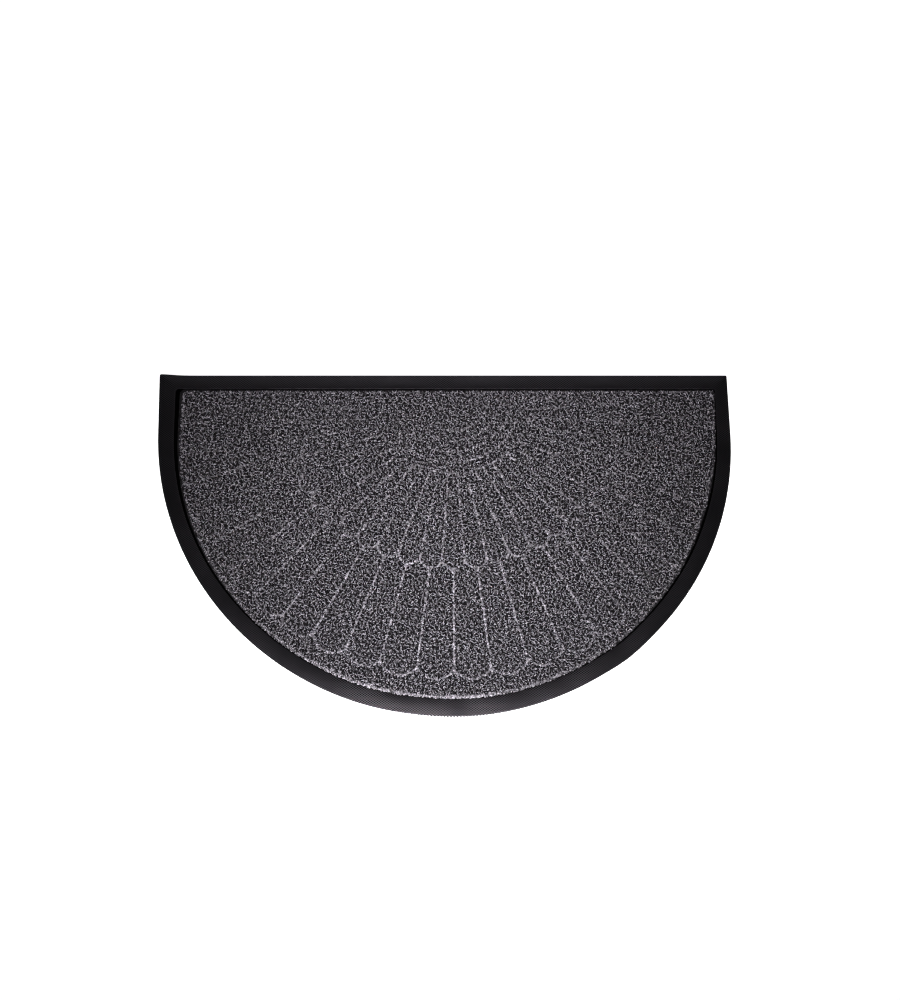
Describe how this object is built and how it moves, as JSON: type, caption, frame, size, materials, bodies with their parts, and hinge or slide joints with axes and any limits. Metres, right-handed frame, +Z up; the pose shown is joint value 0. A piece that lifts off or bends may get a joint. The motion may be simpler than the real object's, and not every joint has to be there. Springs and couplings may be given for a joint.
{
  "type": "half-round rubber doormat",
  "caption": "Half-round doormat: a flat rubber base with a bevelled border round a grey and black felted face, pressed with a fan of petals.",
  "frame": {"origin": "centre of the mat's outer box, on its flat underside", "axes": "+X along the flat edge, +Y towards the flat edge from the round end, +Z up out of the pile"},
  "size_m": [0.75, 0.45, 0.007],
  "materials": {
    "moulded_rubber": "black moulded rubber, satin, with a fine cloth print on the border",
    "felted_pile": "matt grey and black mixed polypropylene fibre with pressed lines"
  },
  "bodies": {
    "root": {"rubber_base": "moulded_rubber", "pile_face": "felted_pile"}
  },
  "joints": []
}
